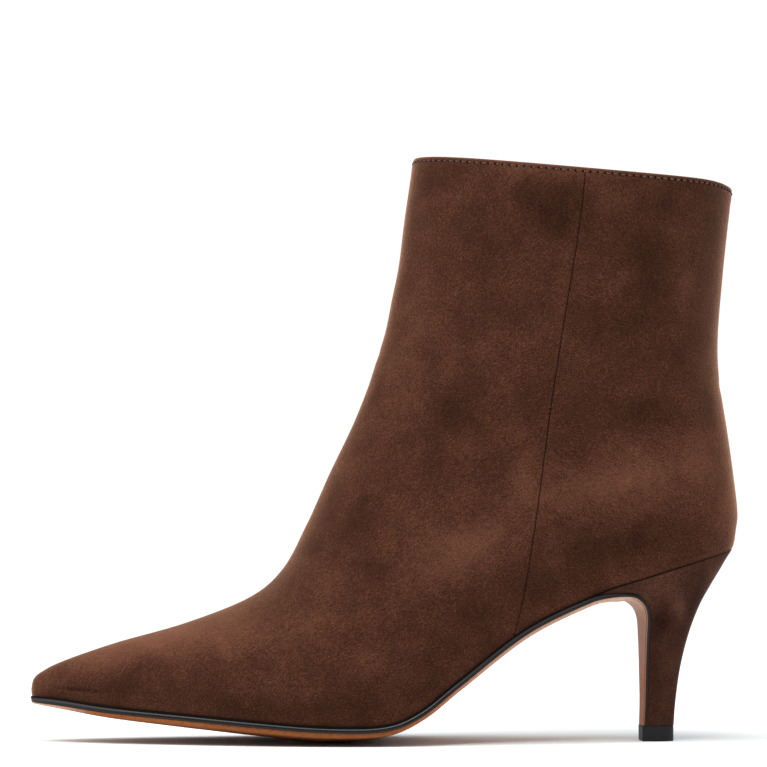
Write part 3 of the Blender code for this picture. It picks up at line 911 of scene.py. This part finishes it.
def makeLining():
    points, faces = [], []
    for side in (-1, 1):
        rows = []
        for place in spacedPlaces(*liningLook["rows"], liningLook["spacing"]):
            curve = curveAt(place, side, 0.0, 1.0, dense["back"])
            rows.append(pointsAt(curve, np.linspace(0, lengthsAlong(curve)[-1], liningLook["columns"])))
        addGrid(points, faces, rows)
    sheet = meshObject("lining", points, faces, merge=2e-6)
    base, normal = coordinates(sheet.data), smoothNormals(sheet.data)
    outside = base - normal * liningLook["inset"]
    return wallObject(sheet, outside, outside - normal * liningLook["thick"])


def leatherMaterial(name, dark, light, pore, roughness, bumps):
    # smooth leather: clouded colour, pores and a little gloss
    made, tree, shader = newMaterial(name, {"Roughness": roughness, "Specular IOR Level": 0.35})
    coords = objectCoords(tree)
    cloud = noise(tree, coords, 38.0, 4.0, 0.6, 0.3)
    grain = noise(tree, coords, pore, 3.0, 0.6)
    shade = weighted(tree, [(cloud, 0.5, 0.9), (grain, 0.5, 0.35)], 0.5)
    height = weighted(tree, [(pores(tree, coords, pore, "SMOOTH_F1"), 0.4, 0.8), (grain, 0.5, 0.5)])
    paint(shader, between(tree, shade, (dark, light)), bump(tree, height, bumps, 0.00025))
    return made


lining = makeLining()
finishPiece(lining, material=leatherMaterial("liningLeather", **liningLook["leather"]))


# sock and insole board, up to the lining
sockLook = {
    "inset": 0.0023,
    "thick": 0.0020,
    "spacing": 0.003,
    "columns": 16,
    "round": 0.0005,
    "firstRow": 1.2,
    "backRows": np.linspace(15.6, 16.0, 12),  # closer together at the back
    "leather": {"dark": srgb(132, 98, 74), "light": srgb(168, 132, 102), "pore": 1300.0, "roughness": 0.55,
                "bumps": 0.2},
}


def makeSock():
    places = spacedPlaces(sockLook["firstRow"], seatRow, sockLook["spacing"])
    places = [p for p in places if p < sockLook["backRows"][0]] + list(sockLook["backRows"])
    sections = [sectionAt(p) for p in places]
    lineX, lineZ = [s.lowX for s in sections], [s.lowZ for s in sections]
    spread = np.linspace(0, 1, sockLook["columns"] + 1)[:, None]
    rings = []
    for before, s, after in zip(sections, sections[1:], sections[2:]):
        edges = []
        for side in (-1, 1):
            along = np.array((after.lowX - before.lowX,
                              after.centre - before.centre + side * (after.edge - before.edge) / 2))
            inward = np.array((along[1], -along[0])) / np.linalg.norm(along) * side
            edges.append(np.array((s.lowX, s.centre + side * s.edge / 2)) + inward * sockLook["inset"])
        if edges[1][1] - edges[0][1] < 2 * sockLook["inset"]:
            continue
        across = lerp(edges[0], edges[1], spread)
        z = np.interp(across[:, 0], lineX, lineZ)
        low = np.column_stack((across, z))
        high = np.column_stack((across, z + sockLook["thick"]))
        high[[0, -1], 2] -= sockLook["round"]
        rings.append(np.concatenate((low, high[::-1])))
    return loftObject("sock", rings)


sock = makeSock()
finishPiece(sock, "insole", leatherMaterial("sockLeather", **sockLook["leather"]), sharp=50)


# the sole line: feather edge to the heel wing, then down the heel breast
Station = namedtuple("Station", "x z middle half row")
soleLook = {
    "step": 0.1,  # of a row
    "toeSteps": 12,  # in the first row
    "wingSteps": 3,  # times as many in the row before the wing
    "columns": 20,
    "corner": 5,
    "ease": 0.0022,  # rounds the corner of the line at the wing
    "topRound": (0.70, 0.45),  # of the black edge, in its thickness and at most in its half width
    "lowRound": 0.25,
    "soleRound": (0.42, 0.4),
    "soleWidth": 0.985,  # of the black edge's width
    "cutReach": 0.0006,  # of the cut side's colour
}


def easedAt(stations, row):
    # stations with the corner of their line at a row rounded off
    table = np.array(stations)
    along = lengthsAlong(table[:, :2])
    offsets = np.linspace(-2.5, 2.5, 25)  # on a bell curve, in its widths
    weights = np.exp(-offsets ** 2 / 2) / np.exp(-offsets ** 2 / 2).sum()
    reach = soleLook["ease"] * hump(along - np.interp(row, table[:, 4], along), 4 * soleLook["ease"])
    eased = [[np.sum(weights * np.interp(a + r * offsets, along, column)) for column in table[:, :4].T]
             for a, r in zip(along, reach)]
    return [Station(*spot, s.row) for spot, s in zip(eased, stations)]


def soleStations():
    step = soleLook["step"]
    places = np.concatenate((np.linspace(0, 1, soleLook["toeSteps"])[:-1], np.arange(1, wingRow - 1, step),
                             np.arange(wingRow - 1, wingRow - 1e-6, step / soleLook["wingSteps"])))
    found = []
    for place in places:
        s = sectionAt(place)
        found.append(Station(s.lowX, s.lowZ, s.centre, s.edge / 2, place))
    for place in np.linspace(0, baseRow, int(baseRow / step) + 1):
        h = heelSectionAt(place)
        found.append(Station(h.frontX, h.frontZ, 0.0, h.breast / 2, wingRow + place))
    return easedAt(found, wingRow)


def sheetRing(station, normal, across):
    # across holds sideways places and depths below the sole line
    across = np.array(across)
    return np.column_stack((station.x + normal[0] * across[:, 1], station.middle + across[:, 0],
                            np.maximum(0.0, station.z + normal[1] * across[:, 1])))


def makeSheets():
    # rings of the black edge and of the tan sole at each station
    look = soleLook
    weltRings, soleRings = [], []
    stations = soleStations()
    along = unit(np.gradient(np.array([(s.x, s.z) for s in stations]), axis=0))
    spread = np.linspace(-1, 1, look["columns"] + 1)
    bend = np.linspace(0, np.pi / 2, look["corner"] + 1)
    ends = wingRow, wingRow + baseRow
    for station, normal in zip(stations, np.column_stack((along[:, 1], -along[:, 0]))):
        layer = layerAt(station.row)
        half = station.half + np.interp(station.row, ends, boot["weltMargin"])
        top, low = boot["seam"], boot["gap"] + layer.welt
        above = min(look["topRound"][0] * layer.welt, look["topRound"][1] * half)
        below = look["lowRound"] * layer.welt
        right = [(half - above * (1 - math.sin(a)), top + above * (1 - math.cos(a))) for a in bend]
        right += [(half - below * (1 - math.cos(a)), low - below * (1 - math.sin(a))) for a in bend]
        ring = [(share * (half - above), top) for share in spread[:-1]] + right
        ring += [(share * (half - below), low) for share in spread[::-1][1:-1]]
        ring += [(-y, d) for y, d in right[::-1]][:-1]
        weltRings.append(sheetRing(station, normal, ring))
        under = low + boot["seam"]
        deep = under + layer.sole
        radius = min(look["soleRound"][0] * layer.sole, look["soleRound"][1] * half)
        wide = half * look["soleWidth"]
        flat = wide - radius
        dome = layer.dome * (1 - spread ** 2)
        side = [(flat + radius * math.cos(a), deep - radius * (1 - math.sin(a))) for a in bend[:-1]]
        ring = [(share * wide, under) for share in spread] + side[1:]
        ring += [(share * flat, deep + bulge) for share, bulge in zip(spread[::-1], dome[::-1])]
        ring += [(-y, d) for y, d in side[:0:-1]]
        soleRings.append(sheetRing(station, normal, ring))
    return weltRings, soleRings


weltRings, soleRings = makeSheets()
blackEdge = loftObject("blackEdge", weltRings)
tanSole = loftObject("tanSole", soleRings)
sideColumn = soleLook["columns"] + 2  # in the middle of a cut side of the sole
cutSides = np.concatenate([ring[[sideColumn, -2]] for ring in soleRings]) + (toeX, heelY, 0)
cutAway = distancesTo(coordinates(tanSole.data), cutSides)
writeAttribute(tanSole.data, "cutEdge", hump(cutAway, soleLook["cutReach"]))


# black edge dressing: dark, glossy, with faint brush marks along it
dressing = {
    "colours": (srgb(9, 7, 7), srgb(24, 19, 21)),
    "marks": (900.0, 3.0, 0.6),
    "cloud": (120.0, 2.0),
    "roughness": 0.21,
    "duller": ((0.010, 0.034, 0.36), (-0.080, -0.108, 0.26)),  # arch and toe: from x, to x, by
}


def edgeMaterial():
    made, tree, shader = newMaterial("edgeDressing", {"Specular IOR Level": 0.27})
    marks = noise(tree, objectCoords(tree, (4, 1, 1)), *dressing["marks"])
    cloud = noise(tree, objectCoords(tree), *dressing["cloud"])
    shade = weighted(tree, [(marks, 0.5, 0.6), (cloud, 0.5, 0.6)], 0.5)
    duller = [(shareAlong(tree, 0, start, end), 0.0, by) for start, end, by in dressing["duller"]]
    rough = weighted(tree, [(cloud, 0.5, 0.15), *duller], dressing["roughness"])
    tree.links.new(rough, shader.inputs["Roughness"])
    paint(shader, between(tree, shade, dressing["colours"]), bump(tree, marks, 0.15, 0.0001))
    return made


# tan sole leather: warm and darker under the forefoot as painted shade near the floor, paler up the arch
# and the breast as painted light from the floor, and paler at the toe
pink = srgb(160, 118, 96), srgb(197, 154, 130)
tanLook = {
    # warm: darker colour as painted shade near the floor; paler: painted light up the arch and the breast
    "warm": (srgb(106, 56, 25), srgb(158, 93, 50)),
    "paler": (  # each over the one before it: axis, from, to, colours
        (0, -0.002, 0.035, (srgb(152, 98, 72), srgb(190, 132, 101))),
        (2, 0.012, 0.036, pink),
        (0, -0.100, -0.118, pink),
        (2, 0.043, 0.051, (srgb(180, 138, 120), srgb(214, 176, 156))),
    ),
    "cut": (0.082, 0.092, 0.8, srgb(116, 66, 40)),  # sides of the flap: from x, to x, share, colour
    "cloud": (60.0, 4.0, 0.6, 0.3),
    "grain": (1500.0, 2.0, 0.6),
    "pore": 1250.0,
}


def soleMaterial():
    made, tree, shader = newMaterial("soleLeather", {"Roughness": 0.65, "Specular IOR Level": 0.12})
    coords = objectCoords(tree)
    cloud, grain = noise(tree, coords, *tanLook["cloud"]), noise(tree, coords, *tanLook["grain"])
    pore = pores(tree, coords, tanLook["pore"], "F1")
    shade = weighted(tree, [(cloud, 0.5, 0.7), (grain, 0.5, 0.5), (pore, 0.4, -0.5)], 0.5)
    colour = between(tree, shade, tanLook["warm"])
    for axis, first, last, colours in tanLook["paler"]:
        colour = mixColour(tree, shareAlong(tree, axis, first, last), colour, between(tree, shade, colours))
    first, last, share, tint = tanLook["cut"]
    cut = calc(tree, "MULTIPLY", attribute(tree, "cutEdge"), shareAlong(tree, 0, first, last))
    colour = mixColour(tree, calc(tree, "MULTIPLY", cut, share), colour, tint)
    height = weighted(tree, [(pore, 0.4, 0.9), (grain, 0.5, 0.3)])
    paint(shader, colour, bump(tree, height, 0.55, 0.0002))
    return made


finishPiece(blackEdge, "welt", edgeMaterial(), sharp=55)
finishPiece(tanSole, "outsole", soleMaterial(), sharp=55)


# suede-covered heel block, and its brushed places
heelLook = {
    "start": 0.06,
    "step": 0.08,
    "tuck": (0.00022, 0.0005),  # its cover turns in at the seat: depth, reach
    "front": 10,
    "back": 64,
    "round": lastRows[seatRow].round,
    "swell": 3,  # full width a third of the way back
    "nap": {"middle": srgb(58, 33, 24), "light": srgb(90, 58, 46), "base": 0.5, "sheen": 0.25,
            "cloud": (95.0, 3.0, 0.55, 0.4), "cloudShade": 0.6, "strokeShade": 0.6},
}
heelBrushes = [Brush(*row) for row in (
    (87.8, 26.6, 9, 5, 18, 0.45, 0),  # under the seat
    (91.0, 22.8, 3, 6, 20, 0.50, 0),
    (88.4, 20.6, 4, 4, 40, -0.75, 0),  # rubbed dark
    (94.0, 23.4, 9, 4, 66, -1.10, 0),
    (96.4, 29.0, 5, 5, 50, 0.40, 0),
    (87.6, 13.5, 3, 16, 0, -0.30, 0),
)]


def heelRing(place, front, back):
    h = heelSectionAt(place)
    power = 2 / heelLook["round"]
    ring = [(h.frontX, lerp(-h.breast, h.breast, k / front) / 2, h.frontZ) for k in range(front)]
    for k in range(back):
        angle = math.pi * k / back
        share = math.sin(angle) ** power
        reach = math.copysign(abs(math.cos(angle)) ** power, math.cos(angle))
        swell = lerp(h.breast, h.width, min(1.0, heelLook["swell"] * share)) / 2
        lift = float(seatLift(share)) * max(0.0, 1 - place)
        ring.append((lerp(h.frontX, h.backX, share), reach * swell, lerp(h.frontZ, h.backZ, share) + lift))
    return np.array(ring)


def makeHeel():
    places = np.append(np.arange(heelLook["start"], baseRow, heelLook["step"]), baseRow)
    made = loftObject("heelBlock", [heelRing(p, heelLook["front"], heelLook["back"]) for p in places])
    base, normal = coordinates(made.data), normalsOf(made.data)
    seat = featherLine(wingRow - 1, seatRow, dense["featherStep"])
    turned = fade(heelLook["tuck"], distancesTo(base, seat))
    made.data.vertices.foreach_set("co", (base - normal * turned[:, None]).ravel())
    made.data.update()
    return made


heelBlock = makeHeel()
writeAttribute(heelBlock.data, "nap", spots(heelBrushes, coordinates(heelBlock.data)))
heelSuede = suedeMaterial("heelSuede", dict(suedeLook, **heelLook["nap"]), False)
finishPiece(heelBlock, "heel", heelSuede, sharp=50)


# rubber tip: the heel's base and the ends of the two sole layers, grown a little, with soft edges
tipLook = {
    "margin": -0.0001,
    "edges": (0.0005, 0.00025),  # on the floor and at the top
    "corner": 4,
    "front": 12,
    "back": 64,
    "colours": (srgb(13, 12, 14), srgb(25, 24, 26)),
    "grain": (1600.0, 3.0, 0.6),
}


def makeTip():
    base = heelSectionAt(baseRow)
    layer = layerAt(wingRow + baseRow)
    top = base.frontZ - boot["seam"]
    grow = 1 + 2 * tipLook["margin"] / base.width
    middle = (base.frontX + base.backX) / 2
    outline = heelRing(baseRow, tipLook["front"], tipLook["back"])
    front = outline[:, 0] <= base.frontX + 1e-6
    flat = np.column_stack((middle + (outline[:, 0] - middle) * grow, outline[:, 1] * grow))
    flat[front, 0] -= layer.welt + layer.sole + 2 * boot["gap"]
    centre = flat.mean(axis=0)
    away = flat - centre
    reach = np.linalg.norm(away, axis=1)[:, None]
    low, high = tipLook["edges"]
    bend = np.linspace(0, np.pi / 2, tipLook["corner"] + 1)
    levels = [(low * (1 - math.sin(a)), low * (1 - math.cos(a))) for a in bend]
    levels += [(high * (1 - math.cos(a)), top - high * (1 - math.sin(a))) for a in bend]
    rings = []
    for inset, z in levels:
        ring = centre + away * (1 - inset / reach)
        rings.append(np.column_stack((ring, np.full(len(ring), z))))
    return loftObject("heelTip", rings)


def rubberMaterial():
    made, tree, shader = newMaterial("tipRubber", {"Roughness": 0.55, "Specular IOR Level": 0.25})
    fine = noise(tree, objectCoords(tree), *tipLook["grain"])
    dark, light = tipLook["colours"]
    paint(shader, ramp(tree, fine, (0.25, dark), (0.75, light)), bump(tree, fine, 0.2, 0.0001))
    return made


finishPiece(makeTip(), "top_piece", rubberMaterial(), sharp=60)


# painted shade: a dark tube in the crevice round the sole and the heel seat, standing in for the shade
# there
edgeLook = {
    "stops": (0.015, 0.040, wingX - 0.004, wingX + 0.012, wingX + 0.045),  # from the toe tip
    "radius": (0.00050, 0.00032, 0.00026, 0.00014, 0.00005),
    "firstRow": 0.02,
    "sides": 8,
    "step": 0.0008,
    "inward": -0.6,  # of a radius
}


def makeCreviceShadeTube():
    line = featherLine(edgeLook["firstRow"], seatRow, edgeLook["step"]) - (toeX, heelY, 0)
    along = unit(np.gradient(line, axis=0))
    across = unit(np.cross(along, (0, 0, 1)))
    up = np.cross(across, along)
    turns = np.linspace(0, 2 * np.pi, edgeLook["sides"], endpoint=False)
    radius = np.interp(line[:, 0], edgeLook["stops"], edgeLook["radius"])
    rings = [p + r * (edgeLook["inward"] * a + np.cos(turns)[:, None] * a + np.sin(turns)[:, None] * u)
             for p, r, a, u in zip(line, radius, across, up)]
    return loftObject("creviceShadeTube", rings)


# stitching: bars along lines, as pitch, start, half sizes along and across, and lift off the skin
stitchLook = {
    "seed": 7,
    "vary": (0.90, 1.08),  # smallest and largest bar
    "collarStitches": (0.0026, 0.0013, (0.00095, 0.00030, 0.00030), 0.00002),
    "collarNeedleHoles": (0.0026, 0.0, (0.00042, 0.00044, 0.00044), -0.00002),
    "seamStitches": (0.0016, 0.0004, (0.00048, 0.00014, 0.00014), 0.00006),
    "seamEnds": (0.02, 0.07),  # parts of a row without stitches, at the foot and at the collar
    "thread": (srgb(68, 49, 41), srgb(104, 80, 69)),
    # near-black: painted shade of the needle holes and of the crevice tube, and the colour of the seam
    # stitches
    "dark": (srgb(6, 4, 3), srgb(16, 10, 8)),
}


def barTree():
    tree = bpy.data.node_groups.new("stitchBars", "GeometryNodeTree")
    sockets = {"Line": "Geometry", "Pitch": "Float", "Start": "Float", "Half Size": "Vector",
               "Seed": "Int", "Finish": "Material"}
    for name, kind in sockets.items():
        tree.interface.new_socket(name, in_out="INPUT", socket_type="NodeSocket" + kind)
    tree.interface.new_socket("Stitches", in_out="OUTPUT", socket_type="NodeSocketGeometry")

    def add(kind, inputs, **settings):
        return addNode(tree, kind, inputs, **settings)

    given = add("NodeGroupInput", {})
    curve = add("GeometryNodeMeshToCurve", {"Mesh": given["Line"]})["Curve"]
    trimmed = add("GeometryNodeTrimCurve", {"Curve": curve, 4: given["Start"], 5: 10.0},
                  mode="LENGTH")["Curve"]  # to the end of the line
    spaced = add("GeometryNodeResampleCurve", {"Curve": trimmed, "Length": given["Pitch"]},
                 mode="LENGTH")["Curve"]
    bead = add("GeometryNodeMeshUVSphere", {"Segments": 8, "Rings": 6, "Radius": 1.0})["Mesh"]
    sized = add("GeometryNodeTransform", {"Geometry": bead, "Scale": given["Half Size"]})["Geometry"]
    tangent = add("GeometryNodeInputTangent", {})["Tangent"]
    turned = add("FunctionNodeAlignRotationToVector", {"Vector": tangent}, axis="X")["Rotation"]
    least, most = stitchLook["vary"]
    vary = add("FunctionNodeRandomValue", {2: least, 3: most, "Seed": given["Seed"]}, data_type="FLOAT")[1]
    bars = add("GeometryNodeInstanceOnPoints", {"Points": spaced, "Instance": sized, "Rotation": turned,
                                                "Scale": vary})["Instances"]
    real = add("GeometryNodeRealizeInstances", {"Geometry": bars})["Geometry"]
    done = add("GeometryNodeSetMaterial", {"Geometry": real, "Material": given["Finish"]})["Geometry"]
    add("NodeGroupOutput", {"Stitches": done})
    return tree


def onSkin(points, lift):
    # moves points onto the finished outside of the upper
    corners = coordinates(upper.data)
    outer = [tuple(f.vertices) for f in upper.data.polygons if max(f.vertices) < len(corners) // 2]
    skin = BVHTree.FromPolygons([tuple(p) for p in corners], outer)
    found = [skin.find_nearest(Vector(p)) for p in points]
    return [tuple(spot + normal * lift) for spot, normal, *rest in found]


def stitchesAlong(name, lines, tree, finish):
    # bars along each line, as one plain mesh
    pitch, start, half, lift = stitchLook[name]
    mesh = bpy.data.meshes.new(name + "Line")
    points, edges = [], []
    for line in lines:
        edges += [(len(points) + k, len(points) + k + 1) for k in range(len(line) - 1)]
        points += onSkin(line, lift)
    mesh.from_pydata(points, edges, [])
    guide = addObject(name + "Line", mesh)
    row = guide.modifiers.new("bars", "NODES")
    row.node_group = tree
    values = {"Pitch": pitch, "Start": start, "Half Size": half, "Finish": finish,
              "Seed": stitchLook["seed"]}
    for socket in tree.interface.items_tree:
        if socket.in_out == "INPUT" and socket.name in values:
            row[socket.identifier] = values[socket.name]
    bpy.context.view_layer.update()
    graph = bpy.context.evaluated_depsgraph_get()
    plain = bpy.data.meshes.new_from_object(guide.evaluated_get(graph))
    guide.modifiers.remove(row)
    bpy.data.objects.remove(guide)
    plain.shade_smooth()
    finishPiece(addObject(name, plain))


def threadMaterial(name, colours):
    made, tree, shader = newMaterial(name, {"Roughness": 0.8, "Specular IOR Level": 0.08})
    twist = noise(tree, objectCoords(tree, (2, 1, 1), (0, 35, 0)), 2600.0)
    colour = ramp(tree, twist, (0.3, colours[0]), (0.7, colours[1]))
    paint(shader, colour, bump(tree, twist, 0.4, 0.0001))
    return made


def belowCollar(drop):
    # closed line round the collar, a given way down from the fold
    shares = np.linspace(0, 1, dense["ring"])
    sides = []
    for side in (-1, 1):
        rim = sectionPoints(collarRow, shares, side)
        down = sectionPoints(collarRow - upperLook["rimRow"], shares, side) - rim
        sides.append(rim + unit(down) * drop)
    return np.concatenate((sides[0], sides[1][-2::-1]))


bars = barTree()
thread = threadMaterial("thread", stitchLook["thread"])
needleDark = threadMaterial("needleHoles", stitchLook["dark"])
ring = belowCollar(upperLook["stitchDrop"])
stitchesAlong("collarStitches", [ring], bars, thread)
# near-black beads standing for the shade in the needle holes
stitchesAlong("collarNeedleHoles", [ring], bars, needleDark)
# a dark tube of painted shade in the crevice
finishPiece(makeCreviceShadeTube(), material=needleDark)
foot, end = seamFoot + stitchLook["seamEnds"][0], collarRow - stitchLook["seamEnds"][1]
seams = [seamLine(side, foot, end, dense["stitch"]) for side in (-1, 1)]
stitchesAlong("seamStitches", seams, bars, needleDark)
